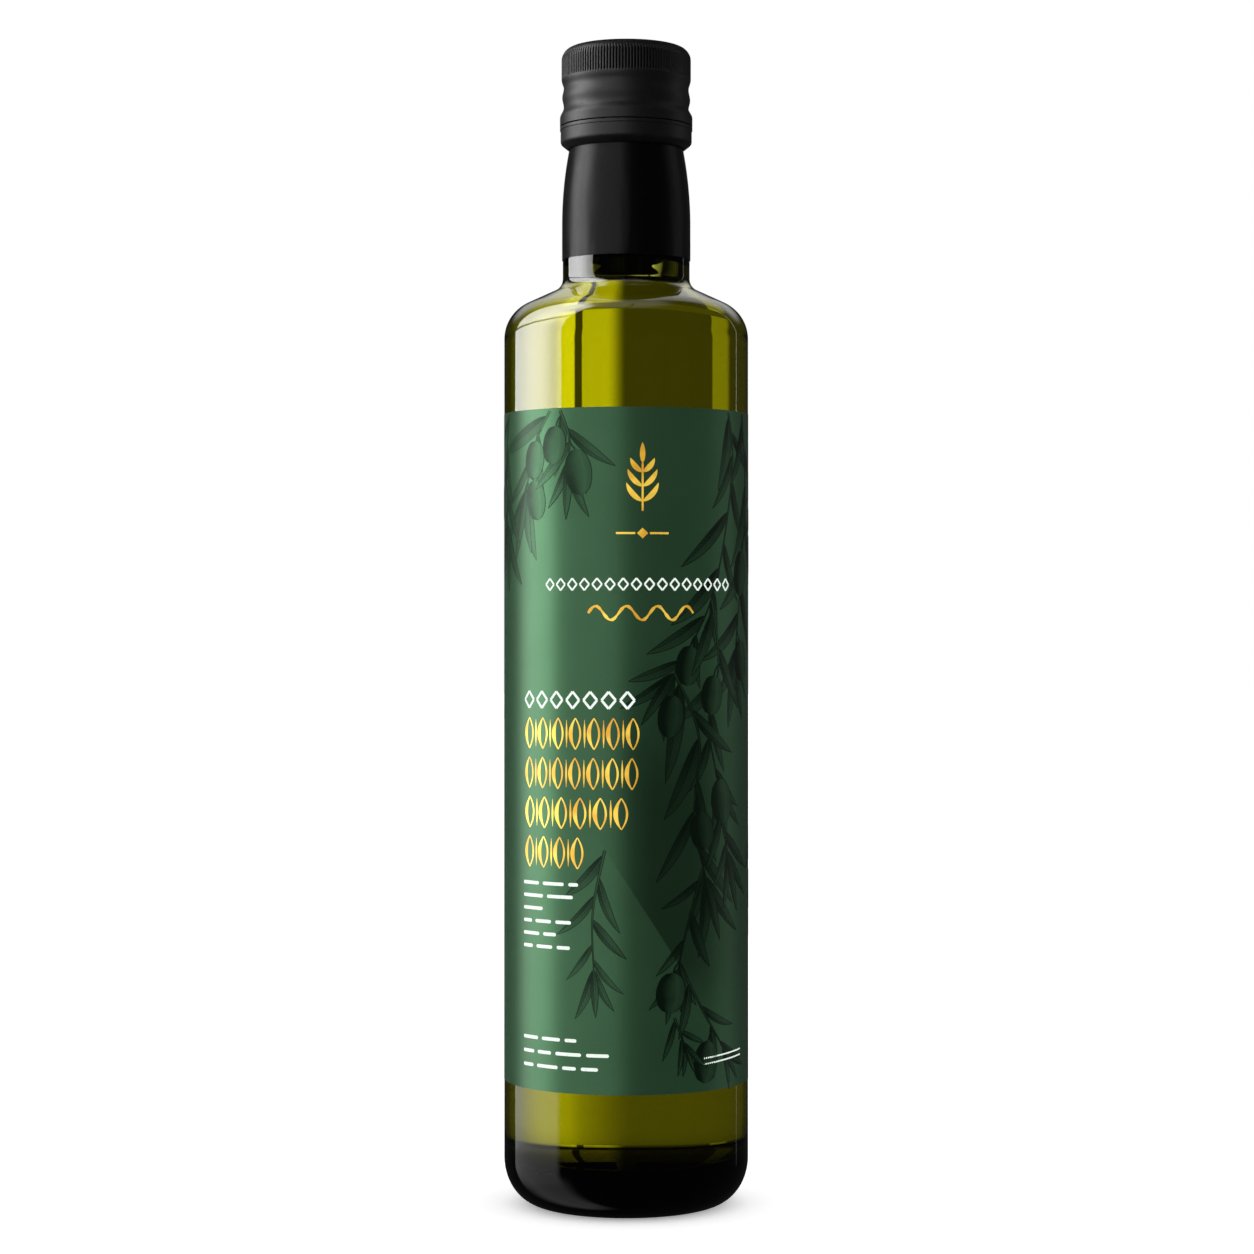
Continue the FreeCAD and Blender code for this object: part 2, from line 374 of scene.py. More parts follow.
def oil_material():
    """Clear golden green oil."""
    material, tree, place = new_material("olive_oil")
    cloud = add(tree, "TexNoise", {"Vector": place, "Scale": 60.0, "Detail": 1.0}).outputs["Fac"]
    dry = add(tree, "Attribute", attribute_name="dry").outputs["Color"]
    shader = add(tree, "BsdfPrincipled", {
        "Base Color": (1.0, 1.0, 1.0, 1.0),
        "Roughness": 0.0,
        "IOR": 1.47,
        "Transmission Weight": 1.0,
        "Specular Tint": dry,
        "Normal": bump(tree, cloud, 0.05, 0.2 * MM),
    })
    volume = add(tree, "VolumeAbsorption", {"Color": (0.957, 0.945, 0.0, 1.0),
                                            "Density": 120.0})
    surface(tree, shader, volume)
    return material


def label_place(tree, place):
    """Distance round the label from the front's middle, and height, in millimetres."""
    x, y, z = add(tree, "SeparateXYZ", {0: place}).outputs
    angle = maths(tree, "ARCTAN2", x, maths(tree, "MULTIPLY", y, -1.0))
    return (maths(tree, "MULTIPLY", angle, BODY_RADIUS / MM), maths(tree, "MULTIPLY", z, 1 / MM))


def shadow_field(tree, place):
    """The dark field right of the middle: one crisp slanting edge, the others fading out."""
    u, v = label_place(tree, place)
    run_u, run_v = FIELD_EDGE[1][0] - FIELD_EDGE[0][0], FIELD_EDGE[1][1] - FIELD_EDGE[0][1]
    length = math.hypot(run_u, run_v)
    across_u = maths(tree, "MULTIPLY", u, -run_v / length)
    beyond = maths(tree, "MULTIPLY_ADD", v, run_u / length, across_u)
    start = (FIELD_EDGE[0][0] * -run_v + FIELD_EDGE[0][1] * run_u) / length
    crisp = ramp(tree, beyond, start, start + 0.35)
    soft_top = ramp(tree, v, 98.0, 150.0, 1.0, 0.0)
    soft_foot = ramp(tree, v, 46.0, 66.0)
    soft_left = ramp(tree, u, -9.0, 8.0)
    soft_right = ramp(tree, u, 14.0, 34.0, 1.0, 0.25)
    field = crisp
    for share in (soft_top, soft_foot, soft_left, soft_right):
        field = maths(tree, "MULTIPLY", field, share)
    return maths(tree, "MULTIPLY", field, FIELD_DEPTH)


def printed_paper(tree, place, darkness=0.0):
    """Satin pearl paper, green, darkened towards the ink; fine fibres in relief and gloss."""
    fibre = add(tree, "TexNoise", {"Vector": place, "Scale": 2600.0, "Detail": 4.0,
                                   "Roughness": 0.65}).outputs["Fac"]
    patch = add(tree, "TexNoise", {"Vector": place, "Scale": 90.0, "Detail": 2.0}).outputs["Fac"]
    field = shadow_field(tree, place)
    clear = maths(tree, "MULTIPLY", maths(tree, "SUBTRACT", 1.0, field),
                  maths(tree, "SUBTRACT", 1.0, darkness))
    green = blend_colour(tree, clear, INK_GREEN, PAPER_GREEN)
    mottled = blend_colour(tree, ramp(tree, patch, 0.3, 0.7, 0.0, 0.16), green,
                           (0.6, 0.66, 0.6, 1.0), "MULTIPLY")
    speckled = blend_colour(tree, ramp(tree, fibre, 0.45, 0.75, 0.0, 0.20), mottled,
                            (0.55, 0.6, 0.55, 1.0), "MULTIPLY")
    return add(tree, "BsdfPrincipled", {
        "Base Color": speckled,
        "Metallic": 0.6,
        "Roughness": ramp(tree, fibre, 0.3, 0.75, 0.30, 0.38),
        "IOR": 1.5,
        "Specular IOR Level": 0.2,
        "Normal": bump(tree, fibre, 0.10, 0.03 * MM),
    })


def paper_material():
    material, tree, place = new_material("label_paper")
    surface(tree, printed_paper(tree, place))
    return material


def line(tree, distance, inner, outer):
    """1 on a line and 0 beyond its soft edge, by the distance from it in millimetres."""
    return ramp(tree, distance, inner, outer, 1.0, 0.0)


def greenery_material():
    """Leaves, olives and stems engraved dark on the green: outlines, ribs, veins and shade."""
    material, tree, place = new_material("greenery_ink")
    blade = add(tree, "Attribute", attribute_name="blade").outputs["Vector"]
    ink = add(tree, "Attribute", attribute_name="ink").outputs["Vector"]
    along, across, half = add(tree, "SeparateXYZ", {0: blade}).outputs
    share, tone, kind = add(tree, "SeparateXYZ", {0: ink}).outputs
    off = maths(tree, "ABSOLUTE", across)
    outline = line(tree, maths(tree, "SUBTRACT", half, off), 0.10, 0.34)
    rib = line(tree, off, 0.05, 0.16)
    rib_edge = maths(tree, "SUBTRACT", line(tree, off, 0.16, 0.34), rib)
    comb = maths(tree, "MULTIPLY_ADD", off, -1.1, along)
    wave = maths(tree, "PINGPONG", maths(tree, "MULTIPLY", comb, 1 / 1.15), 0.5)
    veins = line(tree, wave, 0.02, 0.12)
    hatch = maths(tree, "PINGPONG", maths(tree, "MULTIPLY_ADD", off, 2.6, along), 0.16)
    hatching = line(tree, hatch, 0.0, 0.14)
    cloud = add(tree, "TexNoise", {"Vector": place, "Scale": 260.0, "Detail": 2.0}).outputs["Fac"]
    shade_side = ramp(tree, across, -0.15, 0.25, 0.0, 0.24)
    base_shade = ramp(tree, share, 0.0, 0.75, 0.62, 0.20)
    leaf = maths(tree, "ADD", base_shade, shade_side)
    for layer, weight in ((veins, 0.16), (hatching, 0.10), (rib_edge, 0.22), (rib, -0.30),
                          (cloud, 0.22)):
        leaf = maths(tree, "MULTIPLY_ADD", layer, weight, leaf)
    turn = maths(tree, "DIVIDE", across, half)
    round_shade = ramp(tree, turn, -0.35, 0.85, 0.22, 0.78)
    olive = maths(tree, "MULTIPLY_ADD", cloud, 0.35, round_shade)
    olive = maths(tree, "MULTIPLY_ADD", line(tree, maths(tree, "ABSOLUTE", maths(
        tree, "SUBTRACT", turn, -0.45)), 0.0, 0.22), -0.12, olive)
    stem = maths(tree, "MULTIPLY_ADD", shade_side, 1.2, 0.35)
    fill = add(tree, "Mix", {0: ramp(tree, kind, 0.4, 0.6), 2: leaf, 3: olive},
               data_type="FLOAT").outputs[0]
    fill = add(tree, "Mix", {0: ramp(tree, kind, 1.4, 1.6), 2: fill, 3: stem},
               data_type="FLOAT").outputs[0]
    drawn = maths(tree, "MAXIMUM", fill, maths(tree, "MULTIPLY", outline, 0.95))
    depth = maths(tree, "MULTIPLY", drawn, tone)
    depth = add(tree, "Clamp", {"Value": depth}).outputs[0]
    surface(tree, printed_paper(tree, place, depth))
    return material


def foil_material():
    """Gold ink: part metallic, with slow changes from deep to pale gold."""
    material, tree, place = new_material("gold_ink")
    cloud = add(tree, "TexNoise", {"Vector": place, "Scale": 170.0, "Detail": 2.0}).outputs["Fac"]
    fine = add(tree, "TexNoise", {"Vector": place, "Scale": 2400.0, "Detail": 3.0}).outputs["Fac"]
    gold = blend_colour(tree, ramp(tree, cloud, 0.35, 0.65), (0.72, 0.36, 0.018, 1.0),
                        (1.0, 0.66, 0.07, 1.0))
    surface(tree, add(tree, "BsdfPrincipled", {
        "Base Color": gold,
        "Metallic": 0.25,
        "Roughness": ramp(tree, fine, 0.3, 0.7, 0.30, 0.42),
        "Normal": bump(tree, fine, 0.12, 0.02 * MM),
    }))
    return material


def cream_material():
    """Pale ink with a slightly uneven cover."""
    material, tree, place = new_material("cream_ink")
    fine = add(tree, "TexNoise", {"Vector": place, "Scale": 1800.0, "Detail": 3.0}).outputs["Fac"]
    pale = blend_colour(tree, ramp(tree, fine, 0.35, 0.75), (0.84, 0.93, 0.86, 1.0),
                        (0.70, 0.80, 0.71, 1.0))
    surface(tree, add(tree, "BsdfPrincipled", {
        "Base Color": pale,
        "Roughness": ramp(tree, fine, 0.3, 0.7, 0.42, 0.55),
        "Normal": bump(tree, fine, 0.12, 0.02 * MM),
    }))
    return material


def plastic_material(name, colour, rough_low, rough_high, grain, relief, gloss):
    """Black plastic with a fine grain in its gloss and relief."""
    material, tree, place = new_material(name)
    fine = add(tree, "TexNoise", {"Vector": place, "Scale": grain, "Detail": 3.0}).outputs["Fac"]
    broad = add(tree, "TexNoise", {"Vector": place, "Scale": 120.0, "Detail": 2.0}).outputs["Fac"]
    shade = blend_colour(tree, ramp(tree, broad, 0.3, 0.7, 0.0, 1.0), colour,
                         tuple(0.6 * c for c in colour[:3]) + (1.0,))
    mixed = maths(tree, "MULTIPLY_ADD", fine, 0.6, maths(tree, "MULTIPLY", broad, 0.4))
    surface(tree, add(tree, "BsdfPrincipled", {
        "Base Color": shade,
        "Roughness": ramp(tree, mixed, 0.3, 0.7, rough_low, rough_high),
        "IOR": 1.5,
        "Specular IOR Level": gloss,
        "Normal": bump(tree, fine, relief, 0.03 * MM),
    }))
    return material


# ================================================================ pieces
def finish_piece(piece, node, material):
    """Gives a piece its material, the node it replaces and the body it rides on."""
    piece.data.materials.append(material)
    if node:
        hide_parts(node)
    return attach(piece, "root")


def mark_dry(piece, is_dry):
    """Notes on every point whether air or oil lies on it: wet walls mirror nothing."""
    made = piece.data.attributes.new("dry", "FLOAT_COLOR", "POINT")
    for place, point in zip(made.data, piece.data.vertices):
        share = 1.0 if is_dry(math.hypot(point.co.x, point.co.y), point.co.z) else 0.0
        place.color = (share, share, share, 1.0)


def make_bottle():
    """The glass, and the oil that fills it."""
    glass = turned("bottle_wall", glass_outline())
    wetted = {(round(r, 6), round(z, 6)) for r, z in hollow_outline() if z < FILL_Z}
    mark_dry(glass, lambda r, z: (round(r, 6), round(z, 6)) not in wetted)
    finish_piece(glass, "glass_bottle", glass_material())
    oil = turned("oil_fill", oil_outline())
    rim_r = max(math.hypot(p.co.x, p.co.y) for p in oil.data.vertices if p.co.z > FILL_Z)
    mark_dry(oil, lambda r, z: z >= FILL_Z and r < rim_r - 0.05 * MM)
    finish_piece(oil, "oil", oil_material())


def make_label():
    """The paper: a thin closed sleeve with a gap at the back."""
    half = math.pi * BODY_RADIUS - LABEL_GAP / 2
    columns, rows = 256, 24
    points = []
    for radius in (PAPER_RADIUS, BODY_RADIUS - PAPER_INTO_GLASS):
        for j in range(rows + 1):
            v = LABEL_FOOT_Z + (LABEL_TOP_Z - LABEL_FOOT_Z) * j / rows
            for i in range(columns + 1):
                points.append(wrapped(-half + 2 * half * i / columns, v, radius))
    wide = columns + 1
    back = wide * (rows + 1)
    faces = []
    for j in range(rows):
        for i in range(columns):
            a = j * wide + i
            faces.append((a, a + 1, a + 1 + wide, a + wide))
            faces.append((back + a, back + a + wide, back + a + 1 + wide, back + a + 1))
    for i in range(columns):
        top = rows * wide + i
        faces.append((i, back + i, back + i + 1, i + 1))
        faces.append((top, top + 1, back + top + 1, back + top))
    for j in range(rows):
        left, right = j * wide, j * wide + columns
        faces.append((left, left + wide, back + left + wide, back + left))
        faces.append((right, back + right, back + right + wide, right + wide))
    paper = smooth(face_out(mesh_object("label_sheet", points, faces)))
    finish_piece(paper, "label", paper_material())


# ================================================================ label print
LAYER_STEP = 0.0046 * MM
INK_INTO_PAPER = 0.01 * MM
SPINE_STEP = 0.65
CELL = 1.0
LEAF, OLIVE, STEM = 0.0, 1.0, 2.0
TEXT_LEFT = -29.5
TITLE_TOP = 119.2
TITLE_PITCH = 9.7
EMBLEM_MIDDLE = 4.0
RULE_V = 168.0
# The topmost layer of ink so far in every cell of the label.
highest_layer = {}


class Ink:
    """Closed slivers of one ink, wrapped on the paper, each just above those it crosses.

    A sliver is a spine of (u, v) points in millimetres with a half width at each. Every
    point keeps its distance along, its distance across, the half width there, its share
    of the length, a tone and a kind, for the ink's material to draw with.
    """

    def __init__(self, name):
        self.name = name
        self.points = []
        self.faces = []
        self.blade = []
        self.ink = []

    def sliver(self, spine, halves, tone=1.0, kind=LEAF):
        across = max(2, math.ceil(2 * max(halves) / 0.7))
        grid = []
        travelled = 0.0
        for i, ((u, v), half) in enumerate(zip(spine, halves)):
            before, after = spine[max(i - 1, 0)], spine[min(i + 1, len(spine) - 1)]
            du, dv = after[0] - before[0], after[1] - before[1]
            size = math.hypot(du, dv)
            if i:
                travelled += math.dist(spine[i - 1], (u, v))
            row = []
            for k in range(across + 1):
                side = half * (2 * k / across - 1)
                row.append((u + side * dv / size, v - side * du / size, travelled, side, half,
                            i / (len(spine) - 1)))
            grid.append(row)
        cells = {(math.floor(p[0] / CELL), math.floor(p[1] / CELL)) for row in grid for p in row}
        layer = 1 + max(highest_layer.get(cell, 0) for cell in cells)
        for cell in cells:
            highest_layer[cell] = layer
        self.lay(grid, min(layer * LAYER_STEP, PRINT_ROOM), tone, kind)

    def lay(self, grid, height, tone, kind):
        first = len(self.points)
        wide = len(grid[0])
        under = wide * len(grid)
        for radius in (PAPER_RADIUS + height, PAPER_RADIUS - INK_INTO_PAPER):
            for row in grid:
                for u, v, travelled, side, half, share in row:
                    self.points.append(wrapped(u * MM, v * MM, radius))
                    self.blade.append((travelled, side, half))
                    self.ink.append((share, tone, kind))
        for i in range(len(grid) - 1):
            for k in range(wide - 1):
                a = first + i * wide + k
                self.faces.append((a, a + wide, a + wide + 1, a + 1))
                b = a + under
                self.faces.append((b, b + 1, b + wide + 1, b + wide))
        rim = list(range(wide))
        rim += [i * wide + wide - 1 for i in range(1, len(grid))]
        rim += [(len(grid) - 1) * wide + k for k in range(wide - 2, -1, -1)]
        rim += [i * wide for i in range(len(grid) - 2, 0, -1)]
        for a, b in zip(rim, rim[1:] + rim[:1]):
            self.faces.append((first + a, first + b, first + under + b, first + under + a))

    def finish(self, material):
        piece = face_out(mesh_object(self.name, self.points, self.faces))
        for name, values in (("blade", self.blade), ("ink", self.ink)):
            made = piece.data.attributes.new(name, "FLOAT_VECTOR", "POINT")
            made.data.foreach_set("vector", [c for value in values for c in value])
        smooth(piece, math.radians(30))
        finish_piece(piece, None, material)


def curve(points, steps):
    """A smooth line through a few points."""
    ends = [points[0]] + list(points) + [points[-1]]
    smoothed = []
    for i in range(len(points) - 1):
        a, b, c, d = ends[i:i + 4]
        for k in range(steps):
            t = k / steps
            smoothed.append(tuple(
                0.5 * (2 * b[n] + (c[n] - a[n]) * t + (2 * a[n] - 5 * b[n] + 4 * c[n] - d[n]) * t * t
                       + (3 * b[n] - a[n] - 3 * c[n] + d[n]) * t ** 3) for n in (0, 1)))
    return smoothed + [tuple(points[-1])]


def bow(base, tip, bend):
    """A gently bowed line from base to tip; bend is how far its middle stands aside."""
    du, dv = tip[0] - base[0], tip[1] - base[1]
    steps = max(8, math.ceil(math.hypot(du, dv) / SPINE_STEP))
    return [(base[0] + du * t + dv * bend * 4 * t * (1 - t),
             base[1] + dv * t - du * bend * 4 * t * (1 - t))
            for t in (i / steps for i in range(steps + 1))]


def draw_leaf(ink, base, tip, width, bend, tone):
    """A slim leaf, widest a little below its middle."""
    spine = bow(base, tip, bend)
    count = len(spine) - 1
    halves = [max(0.06, width / 2 * 1.9 * (i / count) ** 0.62 * (1 - i / count) ** 0.86)
              for i in range(count + 1)]
    ink.sliver(spine, halves, tone, LEAF)


def draw_olive(ink, base, heading, length, width, tone):
    tip = (base[0] + length * math.sin(heading), base[1] - length * math.cos(heading))
    spine = bow(base, tip, 0.0)
    count = len(spine) - 1
    halves = [max(0.08, width / 2 * math.sqrt(max(0.0, 1 - (2 * i / count - 1) ** 2)) ** 0.9)
              for i in range(count + 1)]
    ink.sliver(spine, halves, tone, OLIVE)


def draw_branch(ink, rng, points, leaves, leaf_length, tone, olives=(), spread_deg=34):
    """A stem hanging through a few points, with leaves in turn on both sides and one at its end.

    olives are shares of the stem's length where an olive hangs.
    """
    stem = curve(points, 8)
    count = len(stem) - 1
    halves = [0.42 - 0.24 * i / count for i in range(count + 1)]
    for k in range(leaves):
        share = (k + 0.6) / leaves
        i = min(count - 1, int(share * count))
        (u, v), (next_u, next_v) = stem[i], stem[i + 1]
        heading = math.atan2(next_u - u, v - next_v)
        side = 1 if k % 2 else -1
        turn = heading + side * math.radians(spread_deg + rng.uniform(-9, 9))
        length = leaf_length * rng.uniform(0.78, 1.15) * (1.05 - 0.25 * share)
        tip = (u + length * math.sin(turn), v - length * math.cos(turn))
        draw_leaf(ink, (u, v), tip, length * rng.uniform(0.22, 0.29), side * rng.uniform(0.02, 0.08),
                  tone * rng.uniform(0.85, 1.0))
    (u, v), (last_u, last_v) = stem[-3], stem[-1]
    heading = math.atan2(last_u - u, v - last_v)
    for turn in (-0.42, 0.42, 0.0):
        length = leaf_length * rng.uniform(0.75, 0.95)
        tip = (last_u + length * math.sin(heading + turn), last_v - length * math.cos(heading + turn))
        draw_leaf(ink, (last_u, last_v), tip, length * 0.25, 0.12 * turn, tone)
    ink.sliver(stem, halves, tone, STEM)
    for k, share in enumerate(olives):
        u, v = stem[min(count, int(share * count))]
        side = 1 if k % 2 else -1
        knot = (u + side * 1.6, v - 2.6)
        stalk = bow((u, v), knot, 0.1)
        ink.sliver(stalk, [0.2] * len(stalk), tone, STEM)
        draw_olive(ink, knot, side * 0.14, rng.uniform(9.6, 11.6), rng.uniform(6.6, 7.8), tone)


def draw_greenery():
    """The dark branches: twelve on the front, then evenly spaced ones on the sides and back."""
    rng = random.Random(11)
    ink = Ink("label_greenery")
    tall, low = LABEL_TOP_Z / MM, LABEL_FOOT_Z / MM
    branches = (
        (((-20, tall - 0.6), (-25, 190), (-28.5, 179)), 4, 21, 0.95, (0.35, 0.8)),
        (((-17, tall - 0.6), (-14.5, 192), (-14.5, 186)), 4, 16, 1.0, (0.15, 0.6)),
        (((-38, tall - 0.6), (-41, 186), (-40, 172)), 5, 20, 1.0, (0.6,)),
        (((29.5, tall - 0.6), (31.5, 186), (27.5, 166), (22, 150), (12, 134)), 11, 20, 1.2, (0.86,)),
        (((37, tall - 0.6), (40, 178), (36, 156), (33, 140)), 8, 21, 1.15, (0.5, 0.9)),
        (((23, 152), (25.5, 136), (22, 122), (25, 108)), 6, 18, 1.15, (0.35, 0.95)),
        (((12, 134), (19, 118), (17.5, 98), (21, 84)), 7, 21, 1.2, (0.1, 0.62)),
        (((26, 100), (29, 90)), 3, 17, 1.15, ()),
        (((-5.2, 91), (-8.2, 76), (-8, 62)), 6, 14.5, 1.05, ()),
        (((20, 86), (15.5, 72), (13, 62)), 4, 15, 1.15, (0.9,)),
        (((15, 60), (21, 50), (27, 42)), 4, 14, 1.15, (0.7,)),
        (((12, 50), (14.5, 44)), 3, 11, 1.15, ()),
    )
    for points, leaves, length, tone, olives in branches:
        draw_branch(ink, rng, points, leaves, length, tone, olives)
    for u, height, count in ((56, 186, 3), (72, 150, 3), (-60, 176, 3), (-76, 128, 2)):
        for k in range(count):
            v = height - 42 * k
            sway = 5 if k % 2 else -5
            foot = max(v - 30, low + 20)
            draw_branch(ink, rng, ((u, v), (u + sway, (v + foot) / 2), (u, foot)), 7, 18, 1.05,
                        (0.5,))
    ink.finish(greenery_material())


def draw_rule(ink, start, end, thick):
    points = bow(start, end, 0.0)
    ink.sliver(points, [thick / 2] * len(points))


def draw_pill(ink, left, right, v, tall):
    """A bar with rounded ends, as high as a row of small print."""
    half = tall / 2
    steps = max(2, math.ceil((right - left - tall) / SPINE_STEP))
    flat = [left + half + (right - left - tall) * i / steps for i in range(1, steps)]
    turns = [math.pi / 2 * i / 5 for i in range(6)]
    us = [left + half * (1 - math.cos(a)) for a in turns] + flat
    us += [right - half * (1 - math.cos(a)) for a in reversed(turns)]
    hs = [max(0.03, half * math.sin(a)) for a in turns]
    ink.sliver([(u, v) for u in us], hs + [half] * len(flat) + hs[::-1])


def draw_words(ink, rng, left, right, v, tall):
    """A row of small print as bars of word length."""
    u = left
    while right - u > 2.2:
        end = min(right, u + rng.uniform(3.2, 7.5))
        if right - end < 2.6:
            end = right
        draw_pill(ink, u, end, v, tall)
        u = end + 1.3


def draw_lozenges(ink, left, right, v, tall, count):
    """A row of open lozenges."""
    pitch = (right - left) / count
    for k in range(count):
        u = left + pitch * (k + 0.5)
        half_u, half_v = pitch * 0.38, tall / 2
        corners = ((u - half_u, v), (u, v + half_v), (u + half_u, v), (u, v - half_v))
        for a, b in zip(corners, corners[1:] + corners[:1]):
            draw_rule(ink, a, b, tall * 0.15)


def draw_frieze(ink, left, right, v, tall, count):
    """Upright open leaves, each a thick and a thin stroke, with a slender dart between."""
    pitch = (right - left) / count
    foot, head = v - tall / 2, v + tall / 2
    for k in range(count):
        u = left + pitch * (k + 0.5)
        for side, weight in ((-1, 0.085), (1, 0.025)):
            spine = bow((u, foot), (u, head), side * 0.27 * pitch / tall)
            end = len(spine) - 1
            halves = [pitch * (0.028 + weight * math.sin(math.pi * i / end) ** 1.5)
                      for i in range(end + 1)]
            ink.sliver(spine, halves)
        if k < count - 1:
            dart = bow((u + pitch / 2, foot + tall * 0.06), (u + pitch / 2, head - tall * 0.06), 0.0)
            end = len(dart) - 1
            ink.sliver(dart, [max(0.05, pitch * 0.055 * math.sin(math.pi * i / end))
                              for i in range(end + 1)])


def draw_sprig(ink, middle, foot, tall):
    """An upright sprig: a stem with pairs of slim leaves and one at its head."""
    draw_rule(ink, (middle, foot), (middle, foot + tall * 0.7), 0.5)
    blades = [(0.70, 0.0, 0.30)]
    for height, length in ((0.14, 0.36), (0.36, 0.33), (0.57, 0.27)):
        blades += [(height, -0.72, length), (height, 0.72, length)]
    for height, lean, length in blades:
        base = (middle, foot + tall * height)
        tip = (middle + tall * length * math.sin(lean), base[1] + tall * length * math.cos(lean))
        spine = bow(base, tip, 0.14 * lean)
        end = len(spine) - 1
        ink.sliver(spine, [max(0.06, 1.9 * (i / end) ** 0.7 * (1 - i / end) ** 0.8)
                           for i in range(end + 1)])


def draw_gold():
    """The gold print: sprig, rule, wave and friezes."""
    ink = Ink("label_gold")
    middle = EMBLEM_MIDDLE
    draw_sprig(ink, middle, 173.4, 16.6)
    draw_rule(ink, (middle - 6.5, RULE_V), (middle - 1.8, RULE_V), 0.5)
    draw_rule(ink, (middle + 1.8, RULE_V), (middle + 6.5, RULE_V), 0.5)
    ink.sliver([(middle + side * 1.3, RULE_V) for side in (-1, 0, 1)], [0.05, 1.3, 0.05])
    wave = [(-9.4 + 26.6 * i / 48, 148.6 + 1.7 * math.sin(TURN * 3.5 * i / 48)) for i in range(49)]
    ink.sliver(wave, [0.22 + 0.2 * math.sin(TURN * 7 * i / 48 + 0.6) ** 2 for i in range(49)])
    for row, right, count in ((0, 4.1, 7), (1, 3.8, 7), (2, 1.4, 6), (3, -9.7, 4)):
        draw_frieze(ink, TEXT_LEFT, right, TITLE_TOP - TITLE_PITCH * row, 7.6, count)
    draw_frieze(ink, 62.0, 92.0, 172.0, 6.0, 7)
    ink.finish(foil_material())


def draw_cream():
    """The pale print: rows of lozenges, bars for small print and two slanted rules."""
    rng = random.Random(5)
    ink = Ink("label_cream")
    draw_lozenges(ink, -21.6, 29.8, 155.6, 2.9, 16)
    draw_lozenges(ink, TEXT_LEFT, 2.6, 127.4, 4.1, 7)
    for row, right in enumerate((-12.0, -13.4, -19.7, -13.9, -18.2, -14.2)):
        draw_words(ink, rng, TEXT_LEFT, right, 82.4 - 3.1 * row, 0.85)
    for row, right in enumerate((-9.2, -4.2, -6.9)):
        draw_words(ink, rng, TEXT_LEFT, right, 44.4 - 3.4 * row, 0.85)
    for v in (38.2, 39.6):
        draw_rule(ink, (20.5, v), (35.5, v + 0.9), 0.35)
    for row in range(14):
        draw_words(ink, rng, 62.0, 92.0 - (9 if row % 5 == 4 else 0), 160 - 3.0 * row, 0.9)
    for row in range(9):
        draw_words(ink, rng, -92.0, -64.0 - (7 if row % 4 == 3 else 0), 172 - 3.0 * row, 0.9)
    ink.finish(cream_material())


def make_sleeve():
    """Shrink film on the neck, with the faintest upright puckers near its foot."""
    rows = 40
    inside = []
    outside = []
    for i in range(rows + 1):
        z = SLEEVE_FOOT_Z + (SLEEVE_TOP_Z - SLEEVE_FOOT_Z) * i / rows
        inside.append((neck_at(z), z))
        outside.append((neck_at(z, SLEEVE_THICKNESS), z))

    def pucker(r, z, angle):
        low = math.exp(-(z - SLEEVE_FOOT_Z) / (5 * MM))
        ripple = noise.noise((9 * math.sin(angle), 9 * math.cos(angle), z / (9 * MM)))
        return r + (0.02 + 0.05 * low) * MM * ripple, z

    sleeve = turned("neck_film", inside + outside[::-1], 256, pucker)
    film = plastic_material("sleeve_film", (0.0004, 0.0004, 0.00045, 1.0), 0.27, 0.36, 1500.0, 0.15,
                            0.13)
    finish_piece(sleeve, "neck_sleeve", film)


RIBS = 132
STEPS_PER_RIB = 8
RIB_DEPTH = 0.45 * MM
RIB_CREST = 0.45
RIB_WALL = 0.5
RIB_FOOT_Z = CAP_TOP_Z - 8.0 * MM
RIB_RUN_OUT = 0.5 * MM
TOP_ROUND = 3.2 * MM
FLANGE_TOP_Z = CAP_FOOT_Z + 2.1 * MM
THREAD_TILT = 0.35 * MM
ROLL_KNOTS = ((0.0, 0.40 * MM), (0.26, -0.55 * MM), (0.50, -0.17 * MM), (0.76, -0.55 * MM),
              (1.0, 0.0))


def rolled(share):
    """How far the cap's side stands off its radius between the flange and the ribs."""
    for (s0, d0), (s1, d1) in zip(ROLL_KNOTS, ROLL_KNOTS[1:]):
        if share <= s1:
            ease = (1 - math.cos(math.pi * (share - s0) / (s1 - s0))) / 2
            return d0 + (d1 - d0) * ease
    return 0.0


def cap_side(z, angle):
    """The cap's outer radius at a height and angle: flange, rolled grooves, ribs, rounding."""
    if z <= FLANGE_TOP_Z:
        return FLANGE_RADIUS
    share = (z - FLANGE_TOP_Z) / (RIB_FOOT_Z - FLANGE_TOP_Z)
    if share < 1:
        window = math.sin(math.pi * share) ** 2
        tilt = THREAD_TILT * math.sin(angle) * window
        lean = (z + tilt - FLANGE_TOP_Z) / (RIB_FOOT_Z - FLANGE_TOP_Z)
        return CAP_RADIUS + rolled(min(max(lean, 0.0), 1.0))
    phase = abs((angle * RIBS / TURN) % 1.0 - 0.5) * 2
    groove = min(1.0, max(0.0, (phase - RIB_CREST) / RIB_WALL))
    depth = RIB_DEPTH * groove * min(1.0, (z - RIB_FOOT_Z) / RIB_RUN_OUT)
    climb = max(0.0, z - (CAP_TOP_Z - TOP_ROUND))
    round_in = TOP_ROUND - math.sqrt(TOP_ROUND ** 2 - min(climb, TOP_ROUND) ** 2)
    return CAP_RADIUS - max(depth, round_in)


